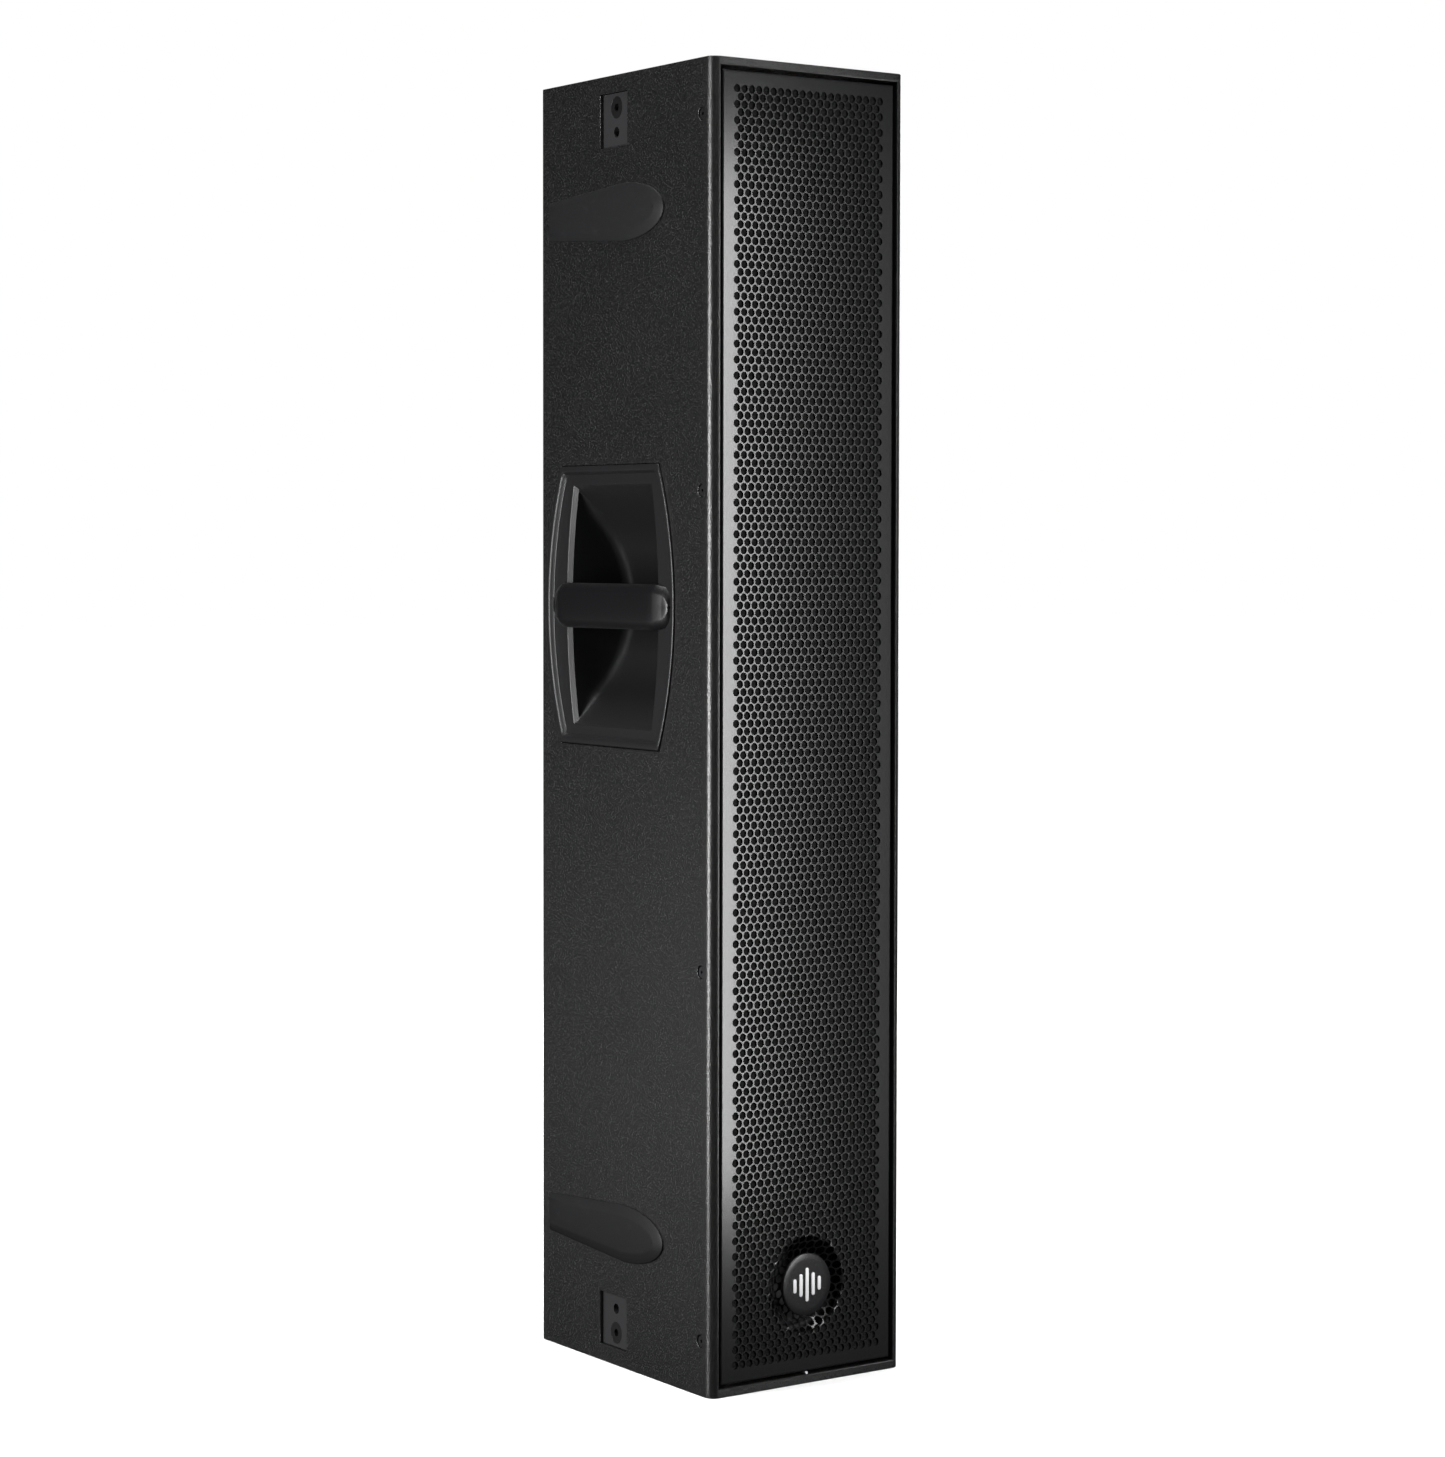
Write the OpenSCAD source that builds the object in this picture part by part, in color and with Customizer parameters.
// Column line array speaker: four woofers and a tall horn in a tapered plywood cabinet.
// Frame: +Z up, the grille faces -Y, origin on the floor at the middle of the cabinet's footprint.
// Left and right are those of somebody who looks at the grille. Millimetres.

/* [Cabinet] */
// Height of the cabinet
cab_h = 1056; // [1050:1:1070]
// Width across the front
front_w = 201; // [200:1:205]
// Width across the back
back_w = 125; // [124:1:130]
// Depth from front to back
cab_d = 274; // [272:1:280]
// Plywood thickness
ply = 15; // [14:0.5:15]
// Radius of the upright front edges
edge_r = 7.5; // [5:0.5:8]
// Height of the front lip above and below the grille
lip_z = 7; // [6:0.5:9]
// Width of the front lip beside the grille
lip_x = 9; // [8.5:0.5:10]
// Depth from the front edge to the baffle
baffle_in = 26; // [25:0.5:27]

/* [Grille] */
// Gap between the grille and the lip
grille_gap = 2.5; // [2.4:0.1:3]
// How far the grille face lies behind the front edge
grille_in = 1.5; // [1:0.5:2]
// Sheet thickness
grille_t = 1.2; // [1:0.1:1.5]
// Depth of the folded side flanges
flange_in = 22; // [20:1:22]
// Hole pitch in a row
hole_pitch = 14.7; // [14:0.1:15]
// Hole diameter
hole_d = 12.6; // [9:0.1:12.8]
// Height of the badge centre
badge_z = 80; // [78:1:84]
// Badge diameter
badge_d = 51; // [48:1:54]
// Outer diameter of the dish pressed round the badge
dish_d = 76; // [74:1:78]
// Depth of the dish
dish_in = 8; // [6:0.5:9]

/* [Drivers] */
// Height of the lowest woofer's axis
woofer_z0 = 104; // [103:1:106]
// Distance between neighbouring woofers
woofer_step = 168; // [166:1:169]
// Diameter of a woofer's frame
woofer_d = 160; // [158:1:160]
// Height of the horn's mouth
horn_h = 320; // [300:5:322]
// Width of the horn's mouth
horn_w = 140; // [130:2:142]
// Diameter of the compression driver
driver_d = 96; // [90:1:98]

/* [Handles] */
// Height of the handle's centre
handle_z = 625; // [620:1:630]
// Distance from the front edge to the handle's centre, along the side
handle_s = 163; // [161:0.5:164]
// Half width of the bezel at its middle
bezel_half = 106; // [104:0.5:107]
// Half height of the bezel
bezel_v = 115; // [114:1:118]
// Half width of the hand opening at its middle
mouth_half = 72.5; // [70:0.5:73]
// Half height of the hand opening
mouth_v = 96; // [94:1:97]
// Depth of the hand pocket
cup_in = 63; // [58:1:63]
// Height of the grip bar
bar_h = 37; // [34:1:40]

/* [Fittings] */
// Height of a rigging recess's centre from the nearer end
rig_end = 36; // [35:1:38]
// Distance from the front edge to the rigging recess, along the side
rig_s = 156; // [150:1:158]
// Height of a side pad's centre from the nearer end
pad_end = 112; // [108:1:116]
// Height that a pad stands off the side
pad_t = 4; // [3:0.5:5]
// Diameter of the pole that the socket takes
pole_d = 35; // [34.5:0.1:36]
// Depth of the pole socket
pole_in = 78; // [70:1:80]

/* [Amplifier] */
// Lower edge of the rear panel
amp_z0 = 100; // [98:1:104]
// Height of the rear panel
amp_h = 360; // [358:1:364]
// Width of the rear panel
amp_w = 88; // [87:1:89]
// Depth of the panel's recess
amp_in = 22; // [21:0.5:24]

/* [Hidden] */
$fn = 96;

black_paint = [0.07, 0.07, 0.075];
black_plastic = [0.12, 0.12, 0.125];
rubber = [0.10, 0.10, 0.10];
zinc = [0.70, 0.70, 0.72];

front_y = -cab_d / 2;
back_y = cab_d / 2;
mid_z = cab_h / 2;
// angle between a side panel and the cabinet's middle plane
side_a = atan((front_w - back_w) / 2 / cab_d);
function outer_x(y) = front_w / 2 - (y - front_y) * tan(side_a);
function inner_x(y) = outer_x(y) - ply / cos(side_a);

baffle_y = front_y + baffle_in;
baffle_back = baffle_y + ply;
grille_y = front_y + grille_in;
opening_x = front_w / 2 - lip_x;
grille_x = opening_x - grille_gap;
foam_y = grille_y + grille_t;
grille_z0 = lip_z + grille_gap;
grille_z1 = cab_h - grille_z0;
row_step = hole_pitch * sqrt(3) / 2;
row_count = 2 * floor((cab_h - 48) / row_step / 2);
badge_face = front_y + 1;
lens_back = baffle_y + 10;
lens_z = lip_z + 1.4;

woofer_zs = [woofer_z0, woofer_z0 + woofer_step,
    cab_h - woofer_z0 - woofer_step, cab_h - woofer_z0];
woofer_r = woofer_d / 2;
woofer_hole_r = 71;
// height of the ledge that carries the surround, in front of the baffle
roll_z = 2;
throat_r = 18;
horn_wall = 3;
horn_len = 65;
throat_y = baffle_y - 4 + horn_len;

bezel_in = 5.5;
bezel_up = 1.5;
flat_in = 2.5;
cup_wall = 2.5;
cup_lip = 4;
flank_a = 45;
side_screw_zs = [44, 338, cab_h - 338, cab_h - 44];
side_screw_s = 16;
handle_bolts = [for (u = [-87, 87], v = [-60, 60]) [u, v]];

rig_size = 44;
rig_in = 6;
rig_zs = [rig_end, cab_h - rig_end];
// each plate has its plugged hole next to the cabinet's end and its open hole 20 mm further in
function rig_sign(z) = z < mid_z ? 1 : -1;
rig_hole = 10;
m10_tap_r = 4.25;

amp_x = amp_w / 2;
amp_floor_y = back_y - amp_in;
amp_t = 3;
rim_w = 7;
amp_back_y = amp_floor_y - amp_t;
dish_x = amp_x - rim_w;
dish_z0 = amp_z0 + rim_w;
dish_z1 = amp_z0 + amp_h - rim_w;
socket_x = 19;
socket_flange = [26, 32];
rocker_in = 3;
rocker_a = 9;
mains_z = 130;
switch_z = 170;
signal_z = 210;
control_z = 253;
knob_x = 19;
button_x = -4;
led_xs = [-29, -23, -17];
fin_z0 = 285;
fin_z1 = 447;
board_y = 70;
loom_y = 30;

// ---- placing ----

// local x runs back along the right side, y up, z out of the cabinet
module on_right() {
    translate([front_w / 2, front_y, 0]) rotate([90, 0, 90 + side_a]) children();
}

module on_both() {
    on_right() children();
    mirror([1, 0, 0]) on_right() children();
}

// local z points out of the front
module facing_front(x, y, z) {
    translate([x, y, z]) rotate([90, 0, 0]) children();
}

// local z points out of the back, local y up
module facing_back(x, y, z) {
    translate([x, y, z]) rotate([90, 0, 180]) children();
}

module box(low, high) {
    translate(low) cube(high - low);
}

// head on top with its face at z = 0, shank below, hexagon socket in the head
module screw(head_r, head_t, shank_r, length, key_r = 0) {
    difference() {
        union() {
            translate([0, 0, -head_t]) cylinder(r = head_r, h = head_t);
            translate([0, 0, -length]) cylinder(r = shank_r, h = length);
        }
        if (key_r > 0) translate([0, 0, -head_t * 0.7]) cylinder(r = key_r, h = head_t, $fn = 6);
    }
}

// outline with straight ends and bowed sides, half width w at the middle and w - bow at the ends
module barrel(w, bow, v, steps = 24) {
    radius = (v * v + bow * bow) / (2 * bow);
    right = [for (i = [0:steps]) let (y = v * (2 * i / steps - 1))
        [w - radius + sqrt(radius * radius - y * y), y]];
    left = [for (i = [0:steps]) let (y = v * (1 - 2 * i / steps))
        [-(w - radius + sqrt(radius * radius - y * y)), y]];
    polygon(concat(right, left));
}

// ---- cabinet ----

module side_blank() {
    corner_y = front_y + edge_r;
    corner_x = outer_x(corner_y) - edge_r / cos(side_a);
    steps = 16;
    round_edge = [for (i = [0:steps]) let (t = -90 + i * (90 + side_a) / steps)
        [corner_x + edge_r * cos(t), corner_y + edge_r * sin(t)]];
    linear_extrude(cab_h) polygon(concat([[inner_x(front_y), front_y]], round_edge,
        [[outer_x(back_y), back_y], [inner_x(back_y), back_y]]));
}

module front_rebate() {
    box([-opening_x, front_y - 1, lip_z], [opening_x, baffle_y, cab_h - lip_z]);
}

module side_panel_right() {
    color(black_paint) difference() {
        side_blank();
        front_rebate();
        on_right() {
            translate([handle_s, handle_z, 0]) {
                translate([0, 0, -bezel_in]) linear_extrude(20)
                    barrel(bezel_half + 0.2, 25, bezel_v + 0.2);
                translate([0, 0, -30]) linear_extrude(40)
                    square(2 * [mouth_half + cup_wall + 0.4, mouth_v + cup_wall + 0.4], center = true);
                for (p = handle_bolts) translate([p.x, p.y, -30]) cylinder(r = 5.2, h = 30);
            }
            for (z = rig_zs) translate([rig_s, z, 0]) {
                translate([-rig_size / 2, -rig_size / 2, -rig_in]) cube([rig_size, rig_size, 20]);
                for (v = [-rig_hole, rig_hole]) translate([0, v, -30]) cylinder(r = 8.2, h = 30);
            }
            for (z = side_screw_zs) translate([side_screw_s, z, 0]) {
                translate([0, 0, -3.5]) cylinder(r = 5.25, h = 10);
                translate([0, 0, -15]) cylinder(r = 2.7, h = 20);
            }
        }
    }
}

module side_panel_left() { mirror([1, 0, 0]) side_panel_right(); }

// plan of everything that spans from side panel to side panel
module span(y0, y1) {
    polygon([[-inner_x(y0), y0], [inner_x(y0), y0], [inner_x(y1), y1], [-inner_x(y1), y1]]);
}

module top_panel() {
    color(black_paint) difference() {
        translate([0, 0, cab_h - ply]) linear_extrude(ply) span(front_y, back_y);
        front_rebate();
    }
}

module bottom_panel() {
    color(black_paint) difference() {
        linear_extrude(ply) span(front_y, back_y);
        front_rebate();
        translate([0, 15, -1]) cylinder(r = pole_d / 2 + 3.2, h = ply + 2);
        translate([0, 15, -1]) cylinder(r = 35.2, h = 4);
        for (a = [45:90:315]) translate([29 * cos(a), 15 + 29 * sin(a), -1]) cylinder(r = 2.2, h = ply + 2);
        facing_front(0, lens_back, lens_z) cylinder(d = 2.4, h = 12);
    }
}

module back_panel() {
    color(black_paint) difference() {
        translate([0, 0, ply]) linear_extrude(cab_h - 2 * ply) span(back_y - ply, back_y);
        box([-amp_x - 0.2, back_y - amp_t, amp_z0 - 0.2], [amp_x + 0.2, back_y + 1, amp_z0 + amp_h + 0.2]);
        box([-dish_x - 0.2, back_y - ply - 1, dish_z0 - 0.2], [dish_x + 0.2, back_y, dish_z1 + 0.2]);
        amp_bolts() translate([0, 0, -20]) cylinder(r = 1.7, h = 30);
    }
}

module front_baffle() {
    color(black_paint) difference() {
        translate([0, 0, ply]) linear_extrude(cab_h - 2 * ply) span(baffle_y, baffle_back);
        for (z = woofer_zs) facing_front(0, baffle_back + 1, z) {
            cylinder(r = woofer_hole_r, h = ply + 2);
            woofer_bolts() cylinder(r = 2.2, h = ply + 2);
        }
        box([-horn_w / 2 - 5, baffle_y - 1, mid_z - horn_h / 2 - 5],
            [horn_w / 2 + 5, baffle_back + 1, mid_z + horn_h / 2 + 5]);
        facing_front(0, baffle_back + 1, mid_z) horn_bolts() cylinder(r = 2.2, h = ply + 2);
    }
}

// plywood frame that ties the four walls together
module brace(z, y1, window_y) {
    color("burlywood") difference() {
        translate([0, 0, z - 6]) linear_extrude(12) span(baffle_back, y1);
        translate([-42, window_y[0], z - 10]) cube([84, window_y[1] - window_y[0], 20]);
    }
}

module brace_upper() { brace(cab_h - woofer_z0 - woofer_step / 2, back_y - ply, [-72, 98]); }

module brace_lower() { brace(woofer_z0 + woofer_step / 2, 52, [-72, 38]); }

// ---- grille and badge ----

module grille_holes() {
    for (row = [0:row_count]) {
        shifted = row % 2;
        z = (row - row_count / 2) * row_step;
        for (col = [0:10 - shifted]) {
            x = (col - 5 + shifted / 2) * hole_pitch;
            from_badge = norm([x, z + mid_z - badge_z]);
            if (from_badge > (dish_d + hole_d) / 2) translate([x, z]) circle(d = hole_d);
        }
    }
}

module grille() {
    dish_r = dish_d / 2;
    floor_r = badge_d / 2 + 1.5;
    color([0.16, 0.16, 0.17]) difference() {
        union() {
            facing_front(0, grille_y + grille_t, mid_z) linear_extrude(grille_t) difference() {
                square([2 * grille_x, grille_z1 - grille_z0], center = true);
                grille_holes();
                translate([0, badge_z - mid_z]) circle(r = dish_r - 0.5);
            }
            for (x = [-grille_x, grille_x - grille_t])
                box([x, front_y + 2, grille_z0], [x + grille_t, front_y + flange_in + 1, grille_z1]);
            for (z = [grille_z0, grille_z1 - grille_t])
                box([-grille_x, grille_y + 0.5, z], [grille_x, grille_y + 12, z + grille_t]);
            facing_front(0, grille_y, badge_z) rotate_extrude() polygon([[dish_r, 0], [dish_r, -grille_t],
                [floor_r, -dish_in - grille_t], [0, -dish_in - grille_t], [0, -dish_in],
                [floor_r - 1, -dish_in], [dish_r - 1, 0]]);
        }
        on_both() for (z = side_screw_zs) translate([side_screw_s, z, -20]) cylinder(r = 2.6, h = 20);
    }
}

module grille_foam() {
    color([0.05, 0.05, 0.05]) difference() {
        box([-grille_x + 3, foam_y, grille_z0 + 3], [grille_x - 3, foam_y + 4, grille_z1 - 3]);
        facing_front(0, grille_y + 20, badge_z) cylinder(r = dish_d / 2 + 1, h = 30);
    }
}

module grille_screws() {
    color(zinc) on_both() for (z = side_screw_zs)
        translate([side_screw_s, z, -1]) screw(4.5, 2.5, 2.45, 12, 1.5);
}

module badge_disc() {
    color(black_plastic) facing_front(0, grille_y + dish_in, badge_z) {
        cylinder(r = 12, h = dish_in - 1);
        translate([0, 0, dish_in - 2.5]) cylinder(d = badge_d, h = grille_in + 1.5);
    }
}

// five upright level bars with round ends
module badge_symbol() {
    bar_w = 3.4;
    color("white") facing_front(0, badge_face, badge_z) for (i = [-2:2]) {
        reach = (i == 0) ? 12 : (abs(i) == 1 ? 7.5 : 4);
        translate([i * 6.4, 0]) linear_extrude(0.4) {
            square([bar_w, 2 * reach], center = true);
            for (v = [-reach, reach]) translate([0, v]) circle(d = bar_w);
        }
    }
}

// thin light guide in the gap under the grille
module status_lens() {
    color("lightgray") facing_front(0, lens_back, lens_z) cylinder(d = 2.2, h = lens_back - badge_face);
}

// ---- horn and compression driver ----

module horn_bolts() {
    for (x = [-1, 1], z = [-1, -0.33, 0.33, 1])
        translate([x * (horn_w / 2 + 7.5), z * (horn_h / 2 - 8), 0]) children();
}

// half size of the horn's mouth at a distance from the throat, as a share of its length
function flare(throat, mouth, share, bend) = throat + (mouth - throat) * pow(share, bend);

module flare_outline(throat, mouth, bend, wall) {
    steps = 10;
    low = [for (i = [0:steps]) [i / steps * horn_len, flare(throat, mouth, i / steps, bend) + wall]];
    high = [for (i = [steps:-1:0]) [i / steps * horn_len, -flare(throat, mouth, i / steps, bend) - wall]];
    end = horn_len + 5;
    polygon(concat([[-5, throat + wall]], low, [[end, mouth + wall], [end, -mouth - wall]], high,
        [[-5, -throat - wall]]));
}

// local z from the throat to the mouth
module flare_solid(wall) {
    intersection() {
        rotate([90, 0, 90]) rotate([0, 0, 90]) mirror([0, 1, 0])
            linear_extrude(400, center = true) flare_outline(throat_r, horn_h / 2, 1.15, wall);
        rotate([90, 0, 0]) rotate([0, 0, 90]) mirror([0, 1, 0])
            linear_extrude(400, center = true) flare_outline(throat_r, horn_w / 2, 1.6, wall);
    }
}

module horn() {
    color(black_plastic) facing_front(0, throat_y, mid_z) difference() {
        union() {
            intersection() {
                flare_solid(horn_wall);
                translate([-200, -200, 0]) cube([400, 400, horn_len]);
            }
            translate([0, 0, horn_len - 2]) cube([horn_w + 24, horn_h + 18, 4], center = true);
            cylinder(d = driver_d, h = 6);
        }
        flare_solid(0);
        translate([0, 0, horn_len - 10]) horn_bolts() cylinder(r = 2.4, h = 20);
    }
}

module horn_screws() {
    color(zinc) facing_front(0, baffle_y - 4, mid_z) horn_bolts()
        translate([0, 0, 2.2]) screw(4, 2.2, 2.1, 16, 1.6);
}

module driver_magnet() {
    color([0.25, 0.25, 0.27]) facing_front(0, throat_y + 36, mid_z) difference() {
        cylinder(d = driver_d, h = 36);
        translate([0, 0, 12]) cylinder(r = throat_r, h = 30);
        translate([0, 0, -1]) difference() {
            cylinder(r = 37, h = 13);
            cylinder(r = 33, h = 13);
        }
        translate([0, 0, -1]) cylinder(r = 12, h = 20);
    }
}

// dome with its short coil former
module driver_diaphragm() {
    rim_r = 35.5;
    dome_r = 83;
    function dome(r) = dome_r - 9.5 - sqrt(dome_r * dome_r - r * r);
    steps = 8;
    back = [for (i = [0:steps]) let (r = rim_r * i / steps) [r, dome(r) - 0.8]];
    front = [for (i = [steps:-1:0]) let (r = (rim_r - 1) * i / steps) [r, dome(r)]];
    color("silver") facing_front(0, throat_y + 36, mid_z) rotate_extrude()
        polygon(concat(back, [[rim_r, 8], [rim_r - 1, 8]], front));
}

module driver_cap() {
    color(black_plastic) facing_front(0, throat_y + 52, mid_z) difference() {
        cylinder(d = driver_d, h = 16);
        translate([0, 0, 4]) cylinder(r = 41, h = 16);
    }
}

// ---- woofers ----

module woofer_bolts() {
    for (i = [0:5]) rotate([0, 0, 60 * i]) translate([75.5, 0, 0]) children();
}

module woofer_basket(z) {
    color(black_plastic) facing_front(0, baffle_y, z) difference() {
        rotate_extrude() polygon([[woofer_r, 5], [woofer_r, 0], [70, 0], [70, -4], [50, -52], [33, -52],
            [33, -49], [47.5, -49], [66.8, -4], [66.8, roll_z], [70, roll_z], [70, 5]]);
        for (i = [0:5]) rotate([0, 0, 60 * i + 30]) translate([40, -15, -44]) cube([40, 30, 36]);
        translate([0, 0, -1]) woofer_bolts() cylinder(r = 2.4, h = 10);
    }
}

// paper cone with its dust cap and coil former as one glued assembly
module woofer_cone(z) {
    cap_r = 30;
    dome_r = 48;
    // height of the dust cap's sphere at a radius, with its edge on the cone
    function dome(r) = sqrt(dome_r * dome_r - r * r) - sqrt(dome_r * dome_r - cap_r * cap_r) - 25;
    steps = 8;
    front = [for (i = [0:steps]) let (r = cap_r * i / steps) [r, dome(r)]];
    under = [for (i = [steps:-1:0]) let (r = cap_r * i / steps) [r, dome(r) - 1.2]];
    color([0.13, 0.13, 0.13]) facing_front(0, baffle_y, z) {
        rotate_extrude() polygon([[22.5, -66], [23.5, -66], [23.5, -34.7], [57.4, -0.8], [59.5, -0.8],
            [59.5, roll_z], [57, roll_z], [22.5, roll_z - 34.5]]);
        rotate_extrude() polygon(concat(front, under));
    }
}

// rubber half roll between the cone's rim and the basket
module woofer_surround(z) {
    middle_r = 62.8;
    roll_r = 3.9;
    t = 1;
    outer = [for (a = [180:-15:0]) [middle_r + roll_r * cos(a), roll_z + roll_r * sin(a)]];
    inner = [for (a = [0:15:180]) [middle_r + (roll_r - t) * cos(a), roll_z + (roll_r - t) * sin(a)]];
    color(rubber) facing_front(0, baffle_y, z) rotate_extrude() union() {
        polygon(concat(outer, inner));
        translate([57.2, roll_z]) square([middle_r - roll_r - 57.2 + t / 2, t]);
        translate([middle_r + roll_r - t / 2, roll_z]) square([69.9 - middle_r - roll_r + t / 2, t]);
    }
}

module woofer_magnets() {
    color([0.22, 0.22, 0.24]) for (z = woofer_zs) facing_front(0, baffle_y, z) {
        difference() {
            translate([0, 0, -82]) cylinder(r = 49, h = 30);
            translate([0, 0, -74]) cylinder(r = 30, h = 16);
            translate([0, 0, -74]) cylinder(r = 24.3, h = 30);
        }
        translate([0, 0, -75]) cylinder(r = 21.7, h = 21);
    }
}

// corrugated cloth ring that centres the coil former
module woofer_spiders() {
    color([0.75, 0.6, 0.3]) for (z = woofer_zs) facing_front(0, baffle_y, z) rotate_extrude()
        polygon([[24, -46], [28, -44.5], [32, -46], [36, -44.5], [40, -46], [44, -46.5], [46, -49],
            [44, -49], [42, -47.6], [40, -47], [36, -45.5], [32, -47], [28, -45.5], [24, -47]]);
}

module woofer_screws() {
    color(zinc) for (z = woofer_zs) facing_front(0, baffle_y, z) woofer_bolts()
        translate([0, 0, 7.2]) screw(4, 2.2, 2.1, 20, 1.6);
}

// ---- handles ----

// section of the hand pocket across the bar: steep flanks that run into a round bottom
module pocket_profile(grow, out) {
    radius = (mouth_v * sin(flank_a) - (cup_in - cup_lip) * cos(flank_a)) / (1 - cos(flank_a));
    centre = cup_in - radius;
    side_v = mouth_v + grow;
    side_in = cup_lip + grow * (1 - sin(flank_a)) / cos(flank_a);
    arc = [for (i = [0:16]) let (t = flank_a * (1 - i / 8))
        [(radius + grow) * sin(t), -centre - (radius + grow) * cos(t)]];
    polygon(concat([[side_v, out], [side_v, -side_in]], arc, [[-side_v, -side_in], [-side_v, out]]));
}

// local frame: x back along the side, y up, z out
module pocket(grow, out) {
    intersection() {
        rotate([90, 0, 90]) linear_extrude(300, center = true) pocket_profile(grow, out);
        translate([0, 0, -100]) linear_extrude(120) barrel(mouth_half + grow, 11, mouth_v + grow);
    }
}

module handle_cup() {
    color(black_plastic) on_right() translate([handle_s, handle_z, 0]) {
        difference() {
            union() {
                translate([0, 0, -bezel_in]) linear_extrude(bezel_in + bezel_up)
                    barrel(bezel_half, 25, bezel_v);
                pocket(cup_wall, -bezel_in + 1);
                for (p = handle_bolts) translate([p.x, p.y, -13.5]) cylinder(r = 5, h = 9);
            }
            translate([0, 0, -flat_in]) linear_extrude(20) barrel(bezel_half - 8, 23, bezel_v - 7);
            pocket(0, 10);
            for (p = handle_bolts) translate([p.x, p.y, -20]) cylinder(r = 2.5, h = 16);
        }
    }
}

module handle_cup_right() { handle_cup(); }

module handle_cup_left() { mirror([1, 0, 0]) handle_cup(); }

// rounded grip with its ends lying on the bezel's flat
module handle_bar() {
    end_half = 95;
    corner = 9;
    color(black_plastic) on_right() translate([handle_s, handle_z, -flat_in]) {
        intersection() {
            translate([0, 0, -18]) linear_extrude(26) {
                square([2 * (end_half - bar_h / 2), bar_h], center = true);
                for (u = [-1, 1]) translate([u * (end_half - bar_h / 2), 0]) circle(d = bar_h);
            }
            rotate([90, 0, 90]) linear_extrude(220, center = true) polygon([[-bar_h / 2, 1.5],
                [-bar_h / 2 + 5, 7.5], [bar_h / 2 - 5, 7.5], [bar_h / 2, 1.5], [bar_h / 2, -corner],
                [bar_h / 2 - corner, -18], [-bar_h / 2 + corner, -18], [-bar_h / 2, -corner]]);
            union() {
                linear_extrude(20) square([2 * end_half + 10, bar_h + 10], center = true);
                translate([0, 0, -30]) linear_extrude(31)
                    square([2 * mouth_half - 10, bar_h + 10], center = true);
            }
        }
    }
}

module handle_bar_right() { handle_bar(); }

module handle_bar_left() { mirror([1, 0, 0]) handle_bar(); }

module handle_screws() {
    color(zinc) on_both() translate([handle_s, handle_z, 0]) for (p = handle_bolts)
        translate([p.x, p.y, -18.4]) rotate([180, 0, 0]) screw(6.5, 3.4, 2.45, 13.5, 2);
}

// ---- pads and rigging ----

// straight tapered body with an elliptical nose towards the front
module pad_outline(inset) {
    nose_s = 73.5 + inset * 1.4;
    wide_s = 138;
    rear_s = 262 - inset * 0.6;
    wide = 23.5 - inset;
    rear = 16 - inset * 0.7;
    polygon(concat([[rear_s, rear]],
        [for (i = [0:16]) let (t = 90 + 180 * i / 16) [wide_s + (wide_s - nose_s) * cos(t), wide * sin(t)]],
        [[rear_s, -rear]]));
}

module side_pads() {
    color(rubber) on_both() for (z = [pad_end, cab_h - pad_end]) translate([0, z, 0]) hull() {
        linear_extrude(0.8) pad_outline(0);
        translate([0, 0, pad_t - 0.2]) linear_extrude(0.2) pad_outline(9);
    }
}

module rigging_plates() {
    side = rig_size - 1;
    color([0.13, 0.13, 0.14]) on_both() for (z = rig_zs) translate([rig_s, z, -rig_in]) {
        difference() {
            union() {
                translate([-side / 2, -side / 2, 0]) cube([side, side, 3]);
                for (v = [-rig_hole, rig_hole]) translate([0, v, -9]) cylinder(r = 8, h = 10);
            }
            translate([0, rig_sign(z) * rig_hole, -10]) cylinder(r = m10_tap_r, h = 20);
            translate([0, -rig_sign(z) * rig_hole, -10]) cylinder(r = 5.05, h = 20);
            translate([0, -rig_sign(z) * rig_hole, -1.05]) cylinder(r1 = 5.05, r2 = 9.1, h = 4.06);
        }
    }
}

// countersunk plug screws in the rigging points that are not in use
module rigging_screws() {
    color([0.2, 0.2, 0.21]) on_both() for (z = rig_zs)
        translate([rig_s, z - rig_sign(z) * rig_hole, -rig_in]) difference() {
            union() {
                translate([0, 0, -9]) cylinder(r = 5, h = 10);
                translate([0, 0, -1]) cylinder(r1 = 5, r2 = 9, h = 4);
            }
            translate([0, 0, -1]) cylinder(r = 3.46, h = 10, $fn = 6);
        }
}

// ---- pole socket ----

module pole_socket() {
    color("dimgray") translate([0, 15, 0]) difference() {
        union() {
            cylinder(r = 35, h = 3);
            cylinder(r = pole_d / 2 + 3, h = pole_in + 4);
        }
        translate([0, 0, -1]) cylinder(r = pole_d / 2 + 0.5, h = pole_in + 1);
        for (a = [45:90:315]) translate([29 * cos(a), 29 * sin(a), -1]) {
            cylinder(r = 2.2, h = 6);
            cylinder(r = 4.2, h = 2.4);
        }
    }
}

module pole_socket_screws() {
    color(zinc) for (a = [45:90:315]) translate([29 * cos(a), 15 + 29 * sin(a), 0.2]) rotate([180, 0, 0])
        screw(4, 1.2, 2.1, 13, 1.2);
}

// ---- amplifier ----

module amp_bolts() {
    for (x = [-1, 1], z = [-1, -0.33, 0.33, 1])
        translate([x * (amp_x - rim_w / 2), back_y, amp_z0 + amp_h / 2 + z * (amp_h - rim_w) / 2])
            rotate([-90, 0, 0]) children();
}

module socket_cut(x, z, radius) {
    facing_back(x, amp_back_y - 1, z) cylinder(r = radius, h = amp_t + 2);
}

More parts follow.
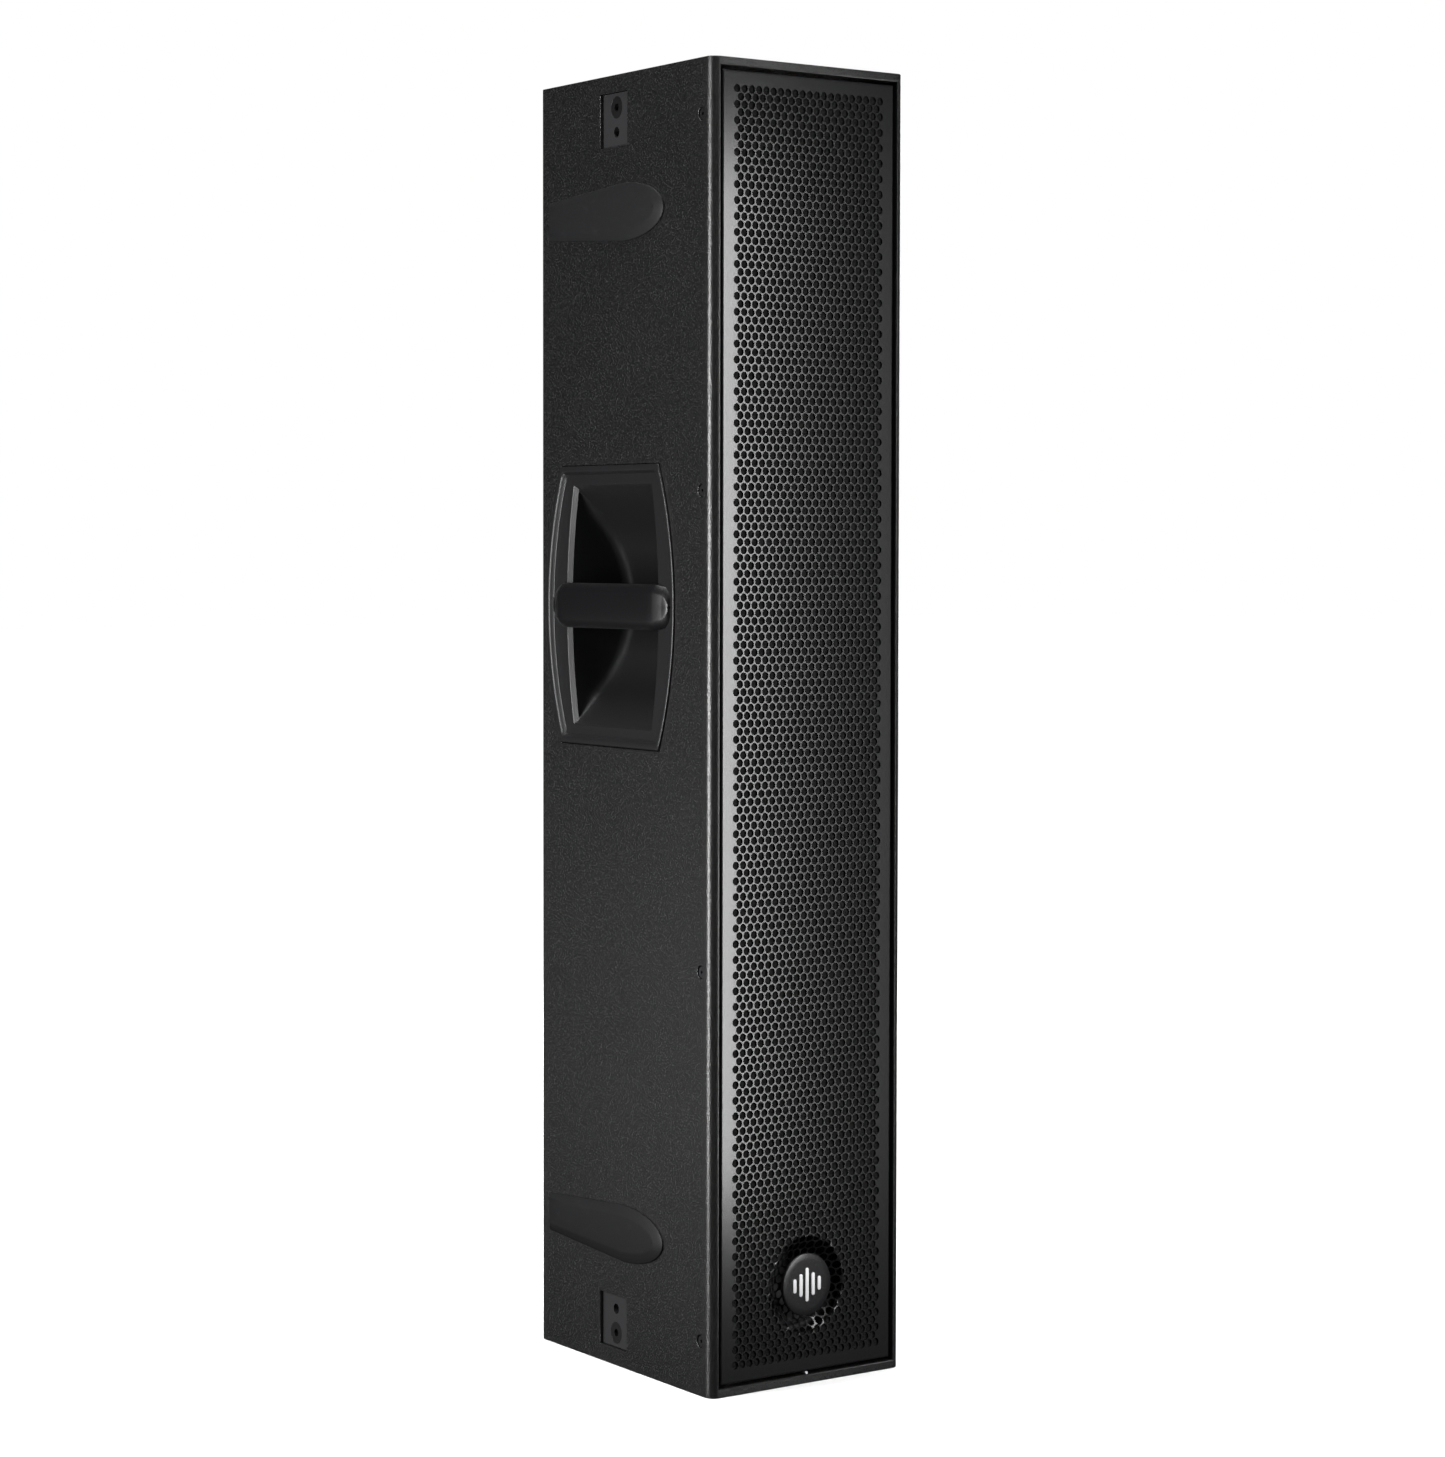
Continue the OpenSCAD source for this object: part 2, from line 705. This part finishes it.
// cast tray set into the back panel: rim, walls and a floor that carries the controls
module amp_panel() {
    color([0.10, 0.10, 0.105]) difference() {
        union() {
            box([-amp_x, back_y - amp_t, amp_z0], [amp_x, back_y, amp_z0 + amp_h]);
            box([-dish_x, amp_back_y, dish_z0], [dish_x, back_y - 1, dish_z1]);
        }
        box([-dish_x + amp_t, amp_floor_y, dish_z0 + amp_t], [dish_x - amp_t, back_y + 1, dish_z1 - amp_t]);
        box([-32, amp_back_y - 1, fin_z0 - 2], [32, amp_floor_y + 1, fin_z1 + 2]);
        for (x = [-socket_x, socket_x], z = [mains_z, signal_z]) socket_cut(x, z, 12.2);
        box([-10.6, amp_back_y - 1, switch_z - 7.6], [10.6, amp_floor_y + 1, switch_z + 7.6]);
        socket_cut(knob_x, control_z, 3.05);
        socket_cut(button_x, control_z, 3.25);
        for (x = led_xs) socket_cut(x, control_z, 1.6);
        facing_back(socket_x, amp_floor_y, signal_z) translate([-2.65, 10, -5]) cube([5.3, 5.2, 9]);
        amp_bolts() {
            translate([0, 0, -20]) cylinder(r = 1.7, h = 30);
            translate([0, 0, -1.7]) cylinder(r = 2.9, h = 5);
        }
    }
}

module amp_screws() {
    color(zinc) amp_bolts() translate([0, 0, -0.1]) screw(2.7, 1.6, 1.6, 14, 1.1);
}

module heat_sink() {
    fins = 9;
    color([0.15, 0.15, 0.155]) {
        box([-35, amp_back_y - 8, fin_z0 - 5], [35, amp_back_y, fin_z1 + 5]);
        for (i = [0:fins - 1]) {
            x = -30 + i * 60 / (fins - 1);
            box([x - 1.1, amp_back_y - 1, fin_z0], [x + 1.1, back_y - 2, fin_z1]);
        }
    }
}

// circuit board with its stand-offs and reservoir capacitors
module amp_board() {
    z0 = dish_z0 + 2;
    z1 = fin_z0 - 8;
    color("darkgreen") {
        for (x = [-20, 20], z = [132, 166]) facing_front(x, board_y + 1, z) cylinder(r = 13, h = 32);
        box([-36, board_y, z0], [36, board_y + 1.6, z1]);
        for (x = [-34, 34], z = [z0 + 4, z1 - 4]) facing_back(x, board_y + 1, z)
            cylinder(r = 2, h = amp_back_y - board_y - 1);
    }
}

module amp_transformer() {
    color("goldenrod") {
        box([-24, board_y - 30, 222], [24, board_y, 262]);
        box([-16, board_y - 36, 228], [16, board_y - 29, 256]);
    }
}

// round shell of a panel socket with its square flange, drawn with its face at z = 0
module socket_shell(mouth_r, depth, body_depth) {
    difference() {
        union() {
            translate([-socket_flange.x / 2, -socket_flange.y / 2, 0])
                cube([socket_flange.x, socket_flange.y, 2.4]);
            translate([0, 0, -body_depth]) cylinder(r = 12, h = body_depth + 1);
        }
        translate([0, 0, -depth]) cylinder(r = mouth_r, h = depth + 10);
        for (s = [-1, 1]) translate([s * 9.8, s * 12.2, -1]) cylinder(r = 1.6, h = 10);
    }
}

// twist-lock mains socket with a short contact tower and two keyways at the rim
module mains_socket(x) {
    facing_back(x, amp_floor_y, mains_z) {
        difference() {
            socket_shell(10.4, 18, 26);
            for (a = [90, 210]) rotate([0, 0, a]) translate([9.6, -1.6, -16]) cube([1.8, 3.2, 20]);
        }
        translate([0, 0, -19]) cylinder(r = 4.5, h = 4);
    }
}

module power_inlet() { color([0.10, 0.22, 0.55]) mains_socket(socket_x); }

module power_outlet() { color([0.62, 0.62, 0.64]) mains_socket(-socket_x); }

// frame of the rocker switch, with bearings for its pivot pins
module switch_frame() {
    color([0.05, 0.05, 0.05]) facing_back(0, amp_floor_y, switch_z) difference() {
        union() {
            translate([-12, -9, 0]) cube([24, 18, 1.4]);
            translate([-10.5, -7.5, -14]) cube([21, 15, 15]);
        }
        translate([-8.8, -6.5, -9.5]) cube([17.6, 13, 20]);
        translate([0, 0, -rocker_in]) rotate([0, 90, 0]) cylinder(r = 1.55, h = 19.4, center = true);
    }
}

// rocker drawn at its off stop
module power_switch() {
    color([0.45, 0.05, 0.05]) facing_back(0, amp_floor_y - rocker_in, switch_z) rotate([rocker_a, 0, 0]) {
        rotate([90, 0, 90]) linear_extrude(17.2, center = true)
            polygon([[-4, -2.5], [4, -2.5], [5.4, 5], [0, 4.2], [-5.4, 5]]);
        rotate([0, 90, 0]) cylinder(r = 1.5, h = 19, center = true);
    }
}

// contacts recessed in a round shell; the latch window opens into its rim
module signal_input() {
    color([0.08, 0.08, 0.08]) facing_back(socket_x, amp_floor_y, signal_z) difference() {
        socket_shell(9.7, 14, 28);
        translate([0, 0, -24]) cylinder(r = 3.3, h = 20);
        for (a = [30, 150, 270]) translate([6.2 * cos(a), 6.2 * sin(a), -24]) cylinder(r = 1.3, h = 20);
        translate([-2.4, 9, -9]) cube([4.8, 6, 20]);
    }
}

// push tab that frees the plug
module input_latch() {
    color([0.45, 0.45, 0.47]) facing_back(socket_x, amp_floor_y, signal_z)
        translate([-2.35, 10.6, -5]) cube([4.7, 4.3, 9]);
}

module signal_link() {
    color([0.30, 0.30, 0.32]) facing_back(-socket_x, amp_floor_y, signal_z) {
        socket_shell(9.3, 14, 20);
        for (a = [30, 150, 270]) translate([5.2 * cos(a), 5.2 * sin(a), -15]) cylinder(r = 1.2, h = 12);
    }
}

module gain_knob() {
    color([0.14, 0.14, 0.14]) facing_back(knob_x, amp_floor_y, control_z) difference() {
        union() {
            translate([0, 0, 0.6]) cylinder(d = 15, h = 10);
            translate([0, 0, -12]) cylinder(r = 3, h = 13);
        }
        translate([-0.6, 2.5, 9.8]) cube([1.2, 6, 2]);
        for (i = [0:11]) rotate([0, 0, 30 * i + 15]) translate([8, 0, 2.5]) cylinder(r = 1.2, h = 10);
    }
}

module mode_button() {
    color([0.55, 0.55, 0.55]) facing_back(button_x, amp_floor_y, control_z)
        translate([0, 0, -6]) cylinder(r = 3.2, h = 9);
}

module panel_leds() {
    color("limegreen") for (x = led_xs) facing_back(x, amp_floor_y, control_z) {
        translate([0, 0, -6]) cylinder(r = 1.5, h = 6.5);
        translate([0, 0, -6]) cylinder(r = 2, h = 2.8);
    }
}

// ---- wiring ----

// sleeved trunk with a branch to each woofer's magnet and one to the amplifier board
module wiring_loom() {
    magnet_back = baffle_y + 82;
    color("firebrick") {
        translate([0, loom_y, woofer_zs[0] - 6]) cylinder(r = 3.5, h = woofer_zs[3] - woofer_zs[0] + 12);
        for (z = woofer_zs) translate([0, magnet_back, z]) rotate([-90, 0, 0])
            cylinder(r = 2.5, h = loom_y - magnet_back);
        translate([0, loom_y, 200]) rotate([-90, 0, 0]) cylinder(r = 3, h = board_y - loom_y);
    }
}

side_panel_left();
side_panel_right();
top_panel();
bottom_panel();
back_panel();
front_baffle();
brace_upper();
brace_lower();
grille();
grille_foam();
grille_screws();
badge_disc();
badge_symbol();
status_lens();
horn();
horn_screws();
driver_magnet();
driver_diaphragm();
driver_cap();
woofer_basket(woofer_zs[0]);  // woofer_1_basket
woofer_basket(woofer_zs[1]);  // woofer_2_basket
woofer_basket(woofer_zs[2]);  // woofer_3_basket
woofer_basket(woofer_zs[3]);  // woofer_4_basket
woofer_cone(woofer_zs[0]);  // woofer_1_cone
woofer_cone(woofer_zs[1]);  // woofer_2_cone
woofer_cone(woofer_zs[2]);  // woofer_3_cone
woofer_cone(woofer_zs[3]);  // woofer_4_cone
woofer_surround(woofer_zs[0]);  // woofer_1_surround
woofer_surround(woofer_zs[1]);  // woofer_2_surround
woofer_surround(woofer_zs[2]);  // woofer_3_surround
woofer_surround(woofer_zs[3]);  // woofer_4_surround
woofer_magnets();
woofer_spiders();
woofer_screws();
handle_cup_left();
handle_cup_right();
handle_bar_left();
handle_bar_right();
handle_screws();
side_pads();
rigging_plates();
rigging_screws();
pole_socket();
pole_socket_screws();
amp_panel();
heat_sink();
amp_board();
amp_transformer();
power_inlet();
power_outlet();
switch_frame();
power_switch();
signal_input();
input_latch();
signal_link();
gain_knob();
mode_button();
panel_leds();
amp_screws();
wiring_loom();
